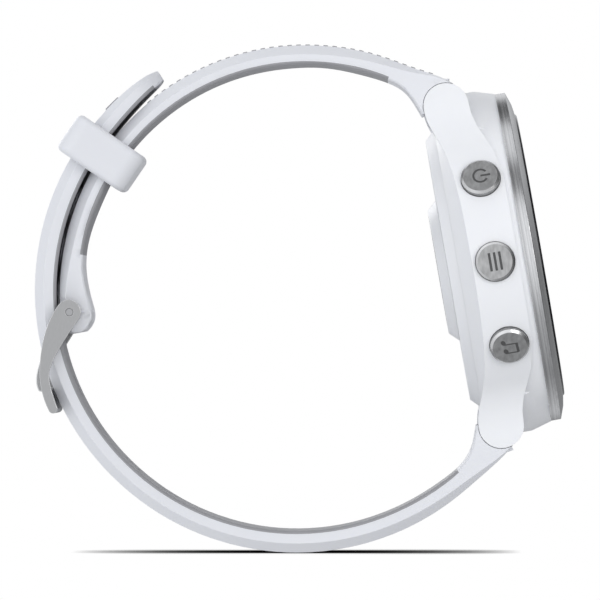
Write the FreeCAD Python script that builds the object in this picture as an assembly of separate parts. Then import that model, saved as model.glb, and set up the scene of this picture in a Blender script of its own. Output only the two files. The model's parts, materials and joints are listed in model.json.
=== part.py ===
import FreeCAD, Part
import math
import os

# GPS running watch, buckled into a closed ring as on a wrist. Millimetres.
#
# Row frame: the origin is the centre of the wrist opening, +Y runs along the forearm,
# +Z goes up round the strap and +X points out through the display, before the case's tilt.
# Case frame: x towards 3 o'clock, y towards 12 o'clock, z out through the display, with z = 0
# on the back cover's plane. place_in_case() takes a shape from the case frame to the row frame.

Vector = FreeCAD.Vector
X_AXIS = Vector(1, 0, 0)
Y_AXIS = Vector(0, 1, 0)
Z_AXIS = Vector(0, 0, 1)

# ---------------------------------------------------------------- driving dimensions
CASE_TILT = 9.8                 # degrees between the case axis and +X
CASE_DISTANCE = 21.0            # from the wrist centre to the back cover, along the case axis
CASE_SHIFT = -0.78              # case axis offset towards 12 o'clock

BAND_RADIUS = 23.6              # side wall of the case
BAND_FRONT = 9.9                # front edge of the side wall
CASE_FRONT = 10.8               # the bezel sits here
CORE_RADIUS = 23.2              # the case in front of the side band
LUG_BLEND = 10.0                # hollow curve between the side band and a lug
CASE_REAR = 1.4                 # the back cover's rim sits here
REAR_RADIUS = 20.05
CAVITY_RADIUS = 20.4
CAVITY_HALF_LENGTH = 19.0       # the cavity's flats behind the strap pockets
REAR_OPENING = 19.0

BEZEL_RADIUS = 23.55
BEZEL_SHOULDER = 12.25          # the bezel chamfer starts here
BEZEL_TOP = 13.1
LENS_RADIUS = 20.3
LENS_TOP = 13.35
LENS_BOTTOM = 12.3
LENS_SEAT = 19.2

LUG_INNER = 11.0                # half the gap between the lugs
LUG_OUTER = 13.5
BAR_Y = 22.9                    # spring bar axis in the case frame
BAR_Z = 3.65
LUG_END = 3.2                   # the lug's rounded end about the spring bar
POCKET_Y = 20.3                 # the wall behind the strap's end
POCKET_TOP = 6.4
SHOULDER_REACH = 24.45          # the rise over the strap's end, at 12 and 6 o'clock
SHOULDER_RADIUS = 19.7

BUTTON_Z = 6.65
BUTTON_ANGLES = {
    "light": 150.0,
    "menu": 180.0,
    "music": 210.0,
    "start": 30.0,
    "back": -30.0,
}
BUTTON_FACE = 24.5              # distance of a button's face from the case axis
BUTTON_RADIUS = 2.75
BUTTON_THICK = 2.0
BUTTON_HOLE = 2.84
BUTTON_HOLE_FLOOR = 21.7
STEM_RADIUS = 0.8
STEM_END = 19.3
BUSHING_RADIUS = 1.5
BUSHING_END = 20.2

STRAP_TUBE = 0.9                # spring bar tube radius
TIP_RADIUS = 0.5                # spring bar tips
TIP_HOLE = 0.56
TUBE_HALF = 10.7
TIP_REACH = 12.2
SEAM = 0.08                     # gap between lug and strap shoulder
SHOULDER_WRAP_REAR = 10.0       # degrees that the strap's shoulder reaches round the lug's end
SHOULDER_WRAP_FRONT = 27.0
HUB_RADIUS = 2.2                # strap end about the spring bar
LINER = 0.45                    # thickness of the strap's inner layer

UPPER_CENTRE = (0.68, -0.07)    # centre of the buckle-side strap's arc in X, Z
LOWER_CENTRE = (-0.61, -0.07)   # centre of the tail-side strap's arc
PIN = (-32.68, -3.14)           # buckle pin axis in X, Z
ARM_INNER = 11.0                # buckle arms, half the clear width
ARM_OUTER = 12.7

KEEPER_ANGLE = 145.6
KEEPER_LENGTH = 6.0
KEEPER_RADII = (28.65, 30.9, 38.05, 39.9)
KEEPER_HALF_WIDTHS = (11.25, 13.1)

# Strap stations: angle about the arc's centre in degrees, inner radius, outer radius, half
# width, height of the outer edge's bevel. The bevel dies out at the lugs.
UPPER_STATIONS = [
    (47.0, 28.9, 36.0, 13.3, 0.10),
    (54.0, 29.2, 35.9, 13.3, 0.12),
    (58.0, 30.2, 35.6, 13.3, 0.20),
    (62.0, 31.3, 35.1, 13.2, 0.50),
    (66.0, 31.9, 34.8, 13.1, 0.80),
    (71.0, 31.95, 34.72, 13.0, 1.05),
    (80.0, 31.95, 34.7, 12.6, 1.25),
    (95.0, 31.95, 34.68, 11.9, 1.3),
    (112.0, 31.95, 34.68, 11.2, 1.3),
    (130.0, 31.95, 34.68, 10.85, 1.3),
    (147.0, 31.95, 34.68, 10.8, 1.3),
    (164.0, 31.95, 34.68, 10.7, 1.3),
    (172.0, 31.85, 34.72, 10.6, 1.2),
    (178.0, 31.3, 34.8, 10.6, 1.0),
    (182.5, 30.75, 34.85, 10.6, 0.8),
    (186.5, 30.45, 34.8, 10.6, 0.7),
    (189.0, 31.0, 34.4, 10.4, 0.6),
    (190.4, 31.9, 33.8, 10.1, 0.5),
]
LOWER_STATIONS = [
    (-27.0, 31.0, 37.9, 13.3, 0.10),
    (-33.0, 31.2, 37.7, 13.3, 0.12),
    (-37.5, 32.0, 37.5, 13.3, 0.20),
    (-42.0, 33.35, 37.2, 13.2, 0.50),
    (-46.5, 34.0, 36.98, 13.1, 0.80),
    (-52.0, 34.02, 36.95, 12.9, 1.05),
    (-62.0, 33.95, 37.02, 12.5, 1.25),
    (-78.0, 33.95, 37.06, 11.9, 1.3),
    (-98.0, 33.98, 37.06, 11.3, 1.3),
    (-120.0, 33.98, 37.06, 10.9, 1.3),
    (-145.0, 33.98, 37.06, 10.7, 1.3),
    (-165.0, 33.98, 37.06, 10.6, 1.3),
    (-185.0, 33.98, 37.06, 10.6, 1.3),
    (-202.0, 34.02, 37.08, 10.6, 1.3),
    (-216.0, 34.15, 37.1, 10.6, 1.2),
    (-225.0, 34.4, 37.15, 10.5, 1.0),
    (-231.0, 34.75, 37.2, 9.7, 0.8),
    (-235.0, 35.05, 37.15, 7.8, 0.7),
    (-237.6, 35.5, 36.9, 4.8, 0.45),
]
UPPER_LINER_SPAN = (68.7, 170.9)
LOWER_LINER_SPAN = (-48.2, -235.0)
BEVEL_RATIO = 1.35              # bevel width over bevel height
EDGE_BREAK = 0.25               # small bevel on the wrist side

TAIL_HOLE_PITCH = 7.0           # along the strap
TAIL_HOLES = range(-4, 5)       # places counted from the hole in use, which is 0
HOLE_LENGTH = 3.4
HOLE_WIDTH = 2.5

COS_TILT = math.cos(math.radians(CASE_TILT))
SIN_TILT = math.sin(math.radians(CASE_TILT))


# ---------------------------------------------------------------- helpers
def save(name, shape):
    if not shape.isValid():
        print("invalid:", name)
    volume = sum(solid.Volume for solid in shape.Solids)
    print(f"{name:28s} solids {len(shape.Solids)}  volume {volume:9.3f} mm3")
    shape.exportStep(f"parts/{name}.step")


def case_point(y, z):
    """X and Z in the row frame of a case-frame point on x = 0."""
    along = CASE_DISTANCE + z
    up = CASE_SHIFT + y
    return (along * COS_TILT - up * SIN_TILT, along * SIN_TILT + up * COS_TILT)


def place_in_case(shape):
    origin_x, origin_z = case_point(0, 0)
    matrix = FreeCAD.Matrix(
        0, -SIN_TILT, COS_TILT, origin_x,
        1, 0, 0, 0,
        0, COS_TILT, SIN_TILT, origin_z,
        0, 0, 0, 1)
    placed = shape.copy()
    placed.Placement = FreeCAD.Placement(matrix) * placed.Placement
    return placed


def face_of(points):
    return Part.Face(Part.makePolygon([*points, points[0]]))


def turned(profile):
    """A solid of revolution about Z from (radius, z) points."""
    face = face_of([Vector(radius, 0, z) for radius, z in profile])
    return face.revolve(Vector(0, 0, 0), Z_AXIS, 360)


def block(x, y, z):
    """A box from three (low, high) pairs."""
    size = [high - low for low, high in (x, y, z)]
    return Part.makeBox(*size, Vector(x[0], y[0], z[0]))


def disc(radius, low, high, x=0.0, y=0.0):
    return Part.makeCylinder(radius, high - low, Vector(x, y, low))


def ring(outer, inner, low, high, x=0.0, y=0.0):
    return disc(outer, low, high, x, y).cut(disc(inner, low - 1, high + 1, x, y))


def round_bar(centre, radius, low, high):
    """A cylinder along Y about an (X, Z) centre in the row frame."""
    return Part.makeCylinder(radius, high - low, Vector(centre[0], low, centre[1]), Y_AXIS)


def plate(points, low, high):
    """A flat outline in X, Z, thick in Y from low to high."""
    face = face_of([Vector(x, low, z) for x, z in points])
    return face.extrude(Vector(0, high - low, 0))


def polar(centre, radius, angle):
    turn = math.radians(angle)
    return (centre[0] + radius * math.cos(turn), centre[1] + radius * math.sin(turn))


def wedge(centre, radius, start, end, half_width, steps=6):
    """A pie slice in X, Z, centred on Y = 0."""
    turns = [start + (end - start) * i / steps for i in range(steps + 1)]
    points = [centre] + [polar(centre, radius, turn) for turn in turns]
    return plate(points, -half_width, half_width)


def circle_edges(shape, radius, z, tolerance=0.02):
    """The circular edges of that radius about Z at height z."""
    found = []
    for edge in shape.Edges:
        curve = edge.Curve
        if not isinstance(curve, Part.Circle):
            continue
        if abs(curve.Radius - radius) < tolerance and abs(curve.Center.z - z) < tolerance:
            found.append(edge)
    return found


def group(shapes):
    return Part.makeCompound(shapes)


# ---------------------------------------------------------------- case
def side_outline():
    """The case's outline seen from 9 o'clock, from one lug's end to the other, as a face
    in Y, Z at x = 0."""
    rear = [(0.0, 3.4), (11.8, 3.05), (15.1, 2.6), (18.6, 1.55), (21.2, 0.65), (BAR_Y, BAR_Z - LUG_END)]
    front = [(BAR_Y, BAR_Z + LUG_END), (21.3, 6.95), (19.4, 7.45), (15.7, 9.1), (12.0, BAND_FRONT)]

    def mirrored(points):
        return [(-y, z) for y, z in reversed(points)]

    rear_curve = Part.BSplineCurve()
    rear_curve.interpolate([Vector(0, y, z) for y, z in mirrored(rear[1:]) + rear])

    def end_arc(sign):
        return Part.Arc(
            Vector(0, sign * BAR_Y, BAR_Z - LUG_END),
            Vector(0, sign * (BAR_Y + LUG_END), BAR_Z),
            Vector(0, sign * BAR_Y, BAR_Z + LUG_END))

    front_points = [Vector(0, y, z) for y, z in front + mirrored(front)]
    front_edges = [
        Part.LineSegment(a, b).toShape() for a, b in zip(front_points, front_points[1:])]
    edges = [rear_curve.toShape(), end_arc(1).toShape(), *front_edges, end_arc(-1).toShape()]
    return Part.Face(Part.Wire(Part.__sortEdges__(edges)))


def band_outline():
    """The side band and lugs seen from the front: a round case that flows into its lugs."""
    lug_zone = block((-LUG_OUTER, LUG_OUTER), (-30, 30), (-5, 15))
    zone = disc(BAND_RADIUS, -5, 15).fuse(lug_zone)
    corner_y = math.sqrt(BAND_RADIUS ** 2 - LUG_OUTER ** 2)
    corners = []
    for edge in zone.Edges:
        box = edge.BoundBox
        upright = box.ZLength > 15 and max(box.XLength, box.YLength) < 0.01
        at_corner = abs(abs(box.XMin) - LUG_OUTER) < 0.01 and abs(abs(box.YMin) - corner_y) < 0.01
        if upright and at_corner:
            corners.append(edge)
    return zone.makeFillet(LUG_BLEND, corners)


def make_shoulders():
    """The rises over the strap ends, at 12 and 6 o'clock. Each dies out into the case before
    the lugs' sides."""
    rise = turned([
        (0, POCKET_TOP), (SHOULDER_RADIUS, POCKET_TOP), (SHOULDER_RADIUS, 7.9),
        (SHOULDER_RADIUS - 0.85, CASE_FRONT), (0, CASE_FRONT)])
    centre_y = SHOULDER_REACH - SHOULDER_RADIUS
    both = []
    for sign in (1, -1):
        one = rise.copy()
        one.translate(Vector(0, sign * centre_y, 0))
        y = sorted((sign * 12.0, sign * 30))
        both.append(one.common(block((-LUG_OUTER, LUG_OUTER), y, (0, 15))))
    return both


def make_case_body():
    outline = side_outline()
    outline.translate(Vector(-BAND_RADIUS - 1, 0, 0))
    side = outline.extrude(Vector(2 * BAND_RADIUS + 2, 0, 0))
    body = side.common(band_outline())

    core = turned([
        (0, CASE_REAR), (REAR_RADIUS, CASE_REAR), (22.95, 3.4), (CORE_RADIUS, 3.9),
        (CORE_RADIUS, CASE_FRONT), (0, CASE_FRONT)])
    body = body.fuse(core)
    body = body.fuse(make_shoulders())

    for sign in (1, -1):
        y = sorted((sign * POCKET_Y, sign * 30))
        body = body.cut(block((-LUG_INNER, LUG_INNER), y, (-5, POCKET_TOP)))

    # the cavity: round at the front and rear, with flats behind the strap pockets
    low_cavity = disc(CAVITY_RADIUS, 3.2, 7.2).common(
        block((-25, 25), (-CAVITY_HALF_LENGTH, CAVITY_HALF_LENGTH), (3, 7.4)))
    body = body.cut(low_cavity)
    body = body.cut(disc(CAVITY_RADIUS, 7.2, 12))
    body = body.cut(disc(REAR_OPENING, 0, 3.2))
    body = body.cut(disc(REAR_RADIUS + 0.05, -2, CASE_REAR))
    body = body.cut(ring(22.2, 21.4, CASE_FRONT - 0.4, 12))

    for sign in (1, -1):
        for side_sign in (1, -1):
            low, high = sorted((side_sign * (LUG_INNER - 1), side_sign * (TIP_REACH + 0.3)))
            hole = Part.makeCylinder(
                TIP_HOLE, high - low, Vector(low, sign * BAR_Y, BAR_Z), X_AXIS)
            body = body.cut(hole)

    for angle in BUTTON_ANGLES.values():
        cap_hole = Part.makeCylinder(BUTTON_HOLE, 6, Vector(BUTTON_HOLE_FLOOR, 0, 0), X_AXIS)
        bushing_hole = Part.makeCylinder(BUSHING_RADIUS, 6, Vector(BUSHING_END - 1, 0, 0), X_AXIS)
        body = body.cut(at_button(cap_hole.fuse(bushing_hole), angle))
    return body.removeSplitter()


def make_bezel():
    bezel = turned([
        (BEZEL_RADIUS, CASE_FRONT), (BEZEL_RADIUS, BEZEL_SHOULDER), (21.75, 12.88), (20.4, BEZEL_TOP),
        (20.4, LENS_BOTTOM - 0.1), (LENS_SEAT, LENS_BOTTOM - 0.1), (LENS_SEAT, CASE_FRONT)])
    return bezel.makeFillet(0.12, circle_edges(bezel, BEZEL_RADIUS, BEZEL_SHOULDER))


def make_lens():
    lens = disc(LENS_RADIUS, LENS_BOTTOM, LENS_TOP)
    return lens.makeFillet(0.35, circle_edges(lens, LENS_RADIUS, LENS_TOP))


def make_case_front():
    save("bezel_ring", place_in_case(make_bezel()))
    save("bezel_gasket", place_in_case(ring(22.2, 21.4, CASE_FRONT - 0.4, CASE_FRONT)))
    save("display_lens", place_in_case(make_lens()))
    save("lens_adhesive", place_in_case(
        ring(LENS_RADIUS, LENS_SEAT, LENS_BOTTOM - 0.1, LENS_BOTTOM)))
    save("display_panel", place_in_case(disc(18.8, 11.0, LENS_BOTTOM)))
    save("display_flex", place_in_case(block((-3, 3), (-16.3, -16.1), (8.4, 11.0))))


# ---------------------------------------------------------------- inside the case
POST_PLACES = [(sx * 12.3, sy * 12.3) for sx in (1, -1) for sy in (1, -1)]
POST_RADIUS = 1.3
SCREW_RADIUS = 0.6
BOARD = (7.6, 8.4)
CHASSIS_PLATE = (9.3, 10.2)
SWITCH_FRONT = 18.85
MOTOR_PLACE = (0.0, 14.2)
BUZZER_PLACE = (0.0, -14.3)


def make_chassis():
    chassis = disc(18.7, *CHASSIS_PLATE)
    chassis = chassis.cut(block((-4, 4), (-16.7, -15.7), (9, 11)))
    skirt = ring(17.8, 17.2, 5.0, CHASSIS_PLATE[0])
    skirt = skirt.common(block((-20, 20), (-13.2, 13.2), (4, 10)))
    chassis = chassis.fuse(skirt)
    for x, y in POST_PLACES:
        chassis = chassis.fuse(disc(POST_RADIUS, 2.5, CHASSIS_PLATE[0], x, y))
    for x, y in POST_PLACES:
        chassis = chassis.cut(disc(SCREW_RADIUS, 2, 5.0, x, y))
    return chassis


def make_board():
    board = disc(17.0, *BOARD)
    for x, y in POST_PLACES:
        board = board.cut(disc(POST_RADIUS + 0.15, 7, 9, x, y))
    return board


def make_chips():
    """Processor, memory, satellite receiver, radio, power and sensor chips."""
    places = [(-3.5, 3.0, 6.5, 6.5), (5.0, 4.0, 5.0, 4.0), (5.5, -2.5, 3.4, 3.4),
              (-5.0, -5.0, 4.0, 3.0), (0.5, -6.5, 3.0, 3.0), (0.0, 10.5, 4.2, 2.4),
              (-10.5, 2.0, 2.6, 3.2), (11.0, 1.0, 2.4, 2.8)]
    chips = []
    for x, y, width, length in places:
        chips.append(block((x - width / 2, x + width / 2), (y - length / 2, y + length / 2),
                           (BOARD[1], BOARD[1] + 0.75)))
    return group(chips)


def make_battery():
    battery = block((-13.5, 13.5), (-10.0, 10.0), (2.9, 6.9))
    upright = [e for e in battery.Edges if abs(e.Vertexes[0].Z - e.Vertexes[-1].Z) > 3]
    return battery.makeFillet(3.0, upright)


def make_motor_can():
    x, y = MOTOR_PLACE
    can = disc(4.0, 3.0, 5.8, x, y).cut(disc(3.7, 3.2, 5.6, x, y))
    return can.fuse(disc(0.3, 3.1, 5.7, x, y))


def make_motor_rotor():
    x, y = MOTOR_PLACE
    rotor = disc(3.4, 3.6, 5.2, x, y)
    rotor = rotor.cut(block((x - 4, x + 4), (y - 4, y - 0.9), (3, 6)))
    return rotor.cut(disc(0.35, 3, 6, x, y))


def make_inside():
    save("inner_chassis", place_in_case(make_chassis()))
    save("main_board", place_in_case(make_board()))
    save("board_chips", place_in_case(make_chips()))
    antenna = ring(20.2, 19.0, 9.3, 10.5).cut(block((-4, 4), (-22, -15), (9, 11)))
    save("gps_antenna", place_in_case(antenna))
    save("battery_cell", place_in_case(make_battery()))
    save("battery_flex", place_in_case(block((13.5, 13.7), (-2, 2), (4.5, BOARD[0]))))
    save("vibration_motor_can", place_in_case(make_motor_can()))
    save("vibration_motor_rotor", place_in_case(make_motor_rotor()))
    save("buzzer_disc", place_in_case(disc(4.2, 4.0, 5.0, *BUZZER_PLACE)))


# ---------------------------------------------------------------- back of the case
SENSOR_HOLE = 8.6
PORT_Y = -13.6
VENT_PLACE = (9.6, -12.4)


def make_back_cover():
    cover = turned([(0, 0), (18.65, 0), (REAR_RADIUS, CASE_REAR), (0, CASE_REAR)])
    cover = cover.fuse(ring(18.5, 17.9, CASE_REAR - 0.1, 2.4))
    cover = cover.cut(disc(SENSOR_HOLE, -1, 3))
    cover = cover.cut(block((-3.5, 3.5), (PORT_Y - 2.2, PORT_Y + 2.2), (-1, 3)))
    cover = cover.cut(disc(1.2, -1, 0.9, *VENT_PLACE))
    for x, y in POST_PLACES:
        cover = cover.cut(disc(1.05, -1, 0.7, x, y)).cut(disc(0.65, 0, 3, x, y))
    return cover


def make_back_screws():
    screws = []
    for x, y in POST_PLACES:
        screw = disc(1.0, 0.1, 0.7, x, y).fuse(disc(SCREW_RADIUS, 0.6, 4.8, x, y))
        slot = block((x - 0.45, x + 0.45), (y - 0.12, y + 0.12), (0, 0.4))
        cross = block((x - 0.12, x + 0.12), (y - 0.45, y + 0.45), (0, 0.4))
        screws.append(screw.cut(slot.fuse(cross)))
    return group(screws)


def make_sensor_housing():
    return turned([
        (7.4, -0.8), (8.2, -0.8), (8.2, -1.4), (8.85, -1.4), (10.15, 0), (SENSOR_HOLE - 0.05, 0),
        (SENSOR_HOLE - 0.05, 1.4), (7.4, 1.4)])


def make_sensor_emitters():
    """Light emitters on a ring and photodiodes in the middle, hanging from the sensor board."""
    pieces = []
    for turn in range(0, 360, 60):
        x, y = polar((0, 0), 5.2, turn)
        pieces.append(block((x - 0.8, x + 0.8), (y - 0.8, y + 0.8), (-0.5, 1.5)))
    for x, y in ((0, 1.9), (0, -1.9)):
        pieces.append(block((x - 1.5, x + 1.5), (y - 1.3, y + 1.3), (-0.5, 1.5)))
    return group(pieces)


def make_charging_port():
    port = block((-3.5, 3.5), (PORT_Y - 2.2, PORT_Y + 2.2), (0, 2.6))
    port = port.cut(block((-2.8, 2.8), (PORT_Y - 1.5, PORT_Y + 1.5), (-1, 1.6)))
    for x in (-2.1, -0.7, 0.7, 2.1):
        port = port.cut(disc(0.35, 1, 3, x, PORT_Y))
    return port


def make_case_back():
    save("back_cover", place_in_case(make_back_cover()))
    save("back_cover_gasket", place_in_case(ring(18.95, 18.55, 1.45, 2.3)))
    save("back_cover_screws", place_in_case(make_back_screws()))
    save("sensor_housing", place_in_case(make_sensor_housing()))
    save("sensor_window", place_in_case(disc(8.15, -1.4, -0.8)))
    save("sensor_board", place_in_case(disc(9.6, 1.5, 2.2)))
    save("sensor_emitters", place_in_case(make_sensor_emitters()))
    save("charging_port", place_in_case(make_charging_port()))
    contacts = group([disc(0.35, 0.6, 2.6, x, PORT_Y) for x in (-2.1, -0.7, 0.7, 2.1)])
    save("charging_contacts", place_in_case(contacts))
    save("pressure_vent", place_in_case(disc(1.2, 0.3, 0.9, *VENT_PLACE)))


# ---------------------------------------------------------------- buttons
def at_button(shape, angle):
    """Takes a shape built along +X at z = 0 to a button's place in the case frame."""
    moved = shape.copy()
    moved.translate(Vector(0, 0, BUTTON_Z))
    moved.rotate(Vector(0, 0, 0), Z_AXIS, angle)
    return moved


def along_x(radius, low, high):
    return Part.makeCylinder(radius, high - low, Vector(low, 0, 0), X_AXIS)


def make_button_cap():
    cap = along_x(BUTTON_RADIUS, BUTTON_FACE - BUTTON_THICK, BUTTON_FACE)
    rim = [e for e in cap.Edges if abs(e.BoundBox.XMin - BUTTON_FACE) < 0.01
           and abs(e.BoundBox.XMax - BUTTON_FACE) < 0.01]
    cap = cap.makeChamfer(0.32, rim)
    stem = along_x(STEM_RADIUS, STEM_END, BUTTON_FACE - BUTTON_THICK + 0.2)
    groove = along_x(STEM_RADIUS + 1, 19.78, 20.1).cut(along_x(0.5, 19.7, 20.2))
    return cap.fuse(stem).cut(groove)


def make_button_clip():
    clip = along_x(1.25, 19.8, 20.08).cut(along_x(0.5, 19, 21))
    return clip.cut(block((19, 21), (0, 2), (-0.4, 0.4)))


def make_bushing():
    bushing = along_x(BUSHING_RADIUS, BUSHING_END, BUTTON_HOLE_FLOOR)
    bushing = bushing.cut(along_x(STEM_RADIUS + 0.05, 19, 23))
    return bushing.cut(along_x(1.2, 20.7, 23))


def make_buttons():
    for name, angle in BUTTON_ANGLES.items():
        save(f"{name}_button", place_in_case(at_button(make_button_cap(), angle)))
        seal = Part.makeTorus(0.97, 0.17, Vector(21.35, 0, 0), X_AXIS)
        save(f"{name}_button_seal", place_in_case(at_button(seal, angle)))
        save(f"{name}_button_clip", place_in_case(at_button(make_button_clip(), angle)))
    bushings = [at_button(make_bushing(), angle) for angle in BUTTON_ANGLES.values()]
    save("button_bushings", place_in_case(group(bushings)))
    switch = block((17.8, SWITCH_FRONT), (-1.5, 1.5), (-1.3, 1.3))
    switches = [at_button(switch, angle) for angle in BUTTON_ANGLES.values()]
    save("button_switches", place_in_case(group(switches)))


# ---------------------------------------------------------------- strap
def strap_section(centre, station):
    """One cross-section of a strap: flat sides, a wide bevel on each outer edge and a small
    one on each inner edge."""
    angle, inner, outer, half, bevel = station
    width = bevel * BEVEL_RATIO
    outline = [
        (inner, EDGE_BREAK - half), (inner, half - EDGE_BREAK), (inner + EDGE_BREAK, half),
        (outer - bevel, half), (outer, half - width),
        (outer, width - half), (outer - bevel, -half), (inner + EDGE_BREAK, -half)]
    points = []
    for radius, y in outline:
        x, z = polar(centre, radius, angle)
        points.append(Vector(x, y, z))
    return Part.makePolygon([*points, points[0]])


def strap_solid(centre, stations):
    return Part.makeLoft([strap_section(centre, s) for s in stations], True, False)


def radius_at(stations, angle):
    """Inner radius of a strap at an angle, between its stations."""
    for first, second in zip(stations, stations[1:]):
        low, high = sorted((first[0], second[0]))
        if low <= angle <= high:
            share = (angle - first[0]) / (second[0] - first[0])
            return first[1] + share * (second[1] - first[1])
    raise ValueError("angle is off the strap")


def liner_tool(centre, stations, span):
    """A thick band whose outer face is the joint between liner and strap."""
    start, end = span
    inside = [s[0] for s in stations if min(span) < s[0] < max(span)]
    sections = []
    for angle in [start, *inside, end]:
        reach = radius_at(stations, angle) + LINER
        points = []
        for radius, y in ((reach - 6, -20), (reach - 6, 20), (reach, 20), (reach, -20)):
            x, z = polar(centre, radius, angle)
            points.append(Vector(x, y, z))
        sections.append(Part.makePolygon([*points, points[0]]))
    return Part.makeLoft(sections, True, False)


def lug_side(bar, outward, towards_wrist):
    """What the lug and case take from a strap's shoulder: the lug's round end and the side of
    the spring bar where the case is. Angles are in X, Z."""
    sign = 1 if towards_wrist > outward else -1
    start = towards_wrist + sign * SHOULDER_WRAP_REAR
    end = outward - sign * SHOULDER_WRAP_FRONT + sign * 360
    cleared = round_bar(bar, LUG_END + SEAM, -20, 20)
    return cleared.fuse(wedge(bar, 9.5, start, end, 20, steps=9))


def strap_end(bar, outward, towards_wrist):
    """The strap's end between the lugs, about the spring bar."""
    sign = 1 if towards_wrist > outward else -1
    web = wedge(bar, LUG_END + 0.7, outward - sign * 17, towards_wrist - sign * 20, TUBE_HALF)
    return web.fuse(round_bar(bar, HUB_RADIUS, -TUBE_HALF, TUBE_HALF))


LEVER_Y = -7.5
LEVER_TRAVEL = 1.3
LEVER_PIN = 0.45
LEVER_REACH = 3.0


def in_bar_frame(shape, bar):
    """Takes a shape built about the origin, with Y along the bar and -Z towards the wrist, to a
    spring bar's place."""
    moved = shape.copy()
    moved.rotate(Vector(0, 0, 0), Y_AXIS, 90 - CASE_TILT)
    moved.translate(Vector(bar[0], 0, bar[1]))
    return moved


def lever_slot(width, depth):
    y = (LEVER_Y - LEVER_PIN - 0.15, LEVER_Y + LEVER_TRAVEL + LEVER_PIN + 0.15)
    return block((-width / 2, width / 2), y, (-depth, 0))


def make_spring_bar_tube(bar):
    tube = round_bar((0, 0), STRAP_TUBE, -TUBE_HALF, TUBE_HALF)
    tube = tube.fuse(round_bar((0, 0), TIP_RADIUS, TUBE_HALF - 0.5, TIP_REACH))
    tube = tube.cut(round_bar((0, 0), TIP_HOLE, -TUBE_HALF - 1, 0))
    return in_bar_frame(tube.cut(lever_slot(1.1, 2)), bar)


def make_plunger(bar):
    rod = round_bar((0, 0), TIP_RADIUS, -TIP_REACH, LEVER_Y + 1.0)
    pin = Part.makeCylinder(LEVER_PIN, LEVER_REACH, Vector(0, LEVER_Y, -LEVER_REACH))
    knob = Part.makeCylinder(0.8, 0.65, Vector(0, LEVER_Y, -LEVER_REACH - 0.3))
    return in_bar_frame(rod.fuse([pin, knob]), bar)


def make_bar_spring(bar):
    spring = round_bar((0, 0), 0.5, -5.0, -0.2).cut(round_bar((0, 0), 0.32, -6, 0))
    return in_bar_frame(spring, bar)


def tongue_hole():
    """The space that the tongue crosses the tail in, from rest to fully lifted."""
    rest_low = [(-32.3, -5.1), (-34.65, -8.95), (-35.9, -11.2)]
    lifted_high = [(-38.6, -5.4), (-36.7, -3.85), (-33.9, -1.9)]
    return plate(rest_low + lifted_high, -HOLE_WIDTH / 2, HOLE_WIDTH / 2)


def tail_hole(step):
    """One adjusting hole, counted from the hole in use."""
    in_use = 192.3
    radius = (LOWER_STATIONS[9][1] + LOWER_STATIONS[9][2]) / 2
    angle = in_use - step * math.degrees(TAIL_HOLE_PITCH / radius)
    half_turn = math.degrees(HOLE_LENGTH / 2 / radius)
    points = [
        polar(LOWER_CENTRE, 32.5, angle - half_turn), polar(LOWER_CENTRE, 39, angle - half_turn),
        polar(LOWER_CENTRE, 39, angle + half_turn), polar(LOWER_CENTRE, 32.5, angle + half_turn)]
    hole = plate(points, -HOLE_WIDTH / 2, HOLE_WIDTH / 2)
    across = [e for e in hole.Edges if e.BoundBox.YLength < 0.01 and e.Length > 5]
    return hole.makeFillet(HOLE_WIDTH / 2 - 0.15, across)


def make_upper_strap():
    bar = case_point(BAR_Y, BAR_Z)
    outward = 90 + CASE_TILT
    towards_wrist = 180 + CASE_TILT
    strap = strap_solid(UPPER_CENTRE, UPPER_STATIONS)
    strap = strap.cut(lug_side(bar, outward, towards_wrist))
    strap = strap.fuse(strap_end(bar, outward, towards_wrist))
    strap = strap.cut(round_bar(bar, STRAP_TUBE, -20, 20))
    strap = strap.cut(in_bar_frame(lever_slot(2.0, 6), bar))
    strap = strap.cut(round_bar(PIN, STRAP_TUBE, -20, 20))
    # the notch that the tongue's eye turns in
    notch = round_bar(PIN, 1.8, -1.4, 1.4)
    notch = notch.fuse(wedge(PIN, 6, 170, 275, 1.4))
    strap = strap.cut(notch)
    tool = liner_tool(UPPER_CENTRE, UPPER_STATIONS, UPPER_LINER_SPAN)
    save("strap_buckle_side", strap.cut(tool))
    save("strap_buckle_side_liner", strap.common(tool))
    save("spring_bar_12_tube", make_spring_bar_tube(bar))
    save("spring_bar_12_spring", make_bar_spring(bar))
    save("spring_bar_12_plunger", make_plunger(bar))


def make_lower_strap():
    bar = case_point(-BAR_Y, BAR_Z)
    outward = 270 + CASE_TILT
    towards_wrist = 180 + CASE_TILT
    strap = strap_solid(LOWER_CENTRE, LOWER_STATIONS)
    strap = strap.cut(lug_side(bar, outward, towards_wrist))
    strap = strap.fuse(strap_end(bar, outward, towards_wrist))
    strap = strap.cut(round_bar(bar, STRAP_TUBE, -20, 20))
    strap = strap.cut(in_bar_frame(lever_slot(2.0, 6), bar))
    for step in TAIL_HOLES:
        strap = strap.cut(tongue_hole() if step == 0 else tail_hole(step))
    tool = liner_tool(LOWER_CENTRE, LOWER_STATIONS, LOWER_LINER_SPAN)
    save("strap_tail_side", strap.cut(tool))
    save("strap_tail_side_liner", strap.common(tool))
    save("spring_bar_6_tube", make_spring_bar_tube(bar))
    save("spring_bar_6_spring", make_bar_spring(bar))
    save("spring_bar_6_plunger", make_plunger(bar))


def make_stop_rib():
    """A low rib across the tail that keeps the keeper from sliding off."""
    base = 37.18
    points = [
        polar(LOWER_CENTRE, base, 132.6), polar(LOWER_CENTRE, base + 0.2, 132.9),
        polar(LOWER_CENTRE, base + 0.2, 136.4), polar(LOWER_CENTRE, base, 136.7)]
    rib = plate(points, -7.0, 7.0)
    strap = strap_solid(LOWER_CENTRE, LOWER_STATIONS)
    save("tail_stop_rib", rib.cut(strap))


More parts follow.
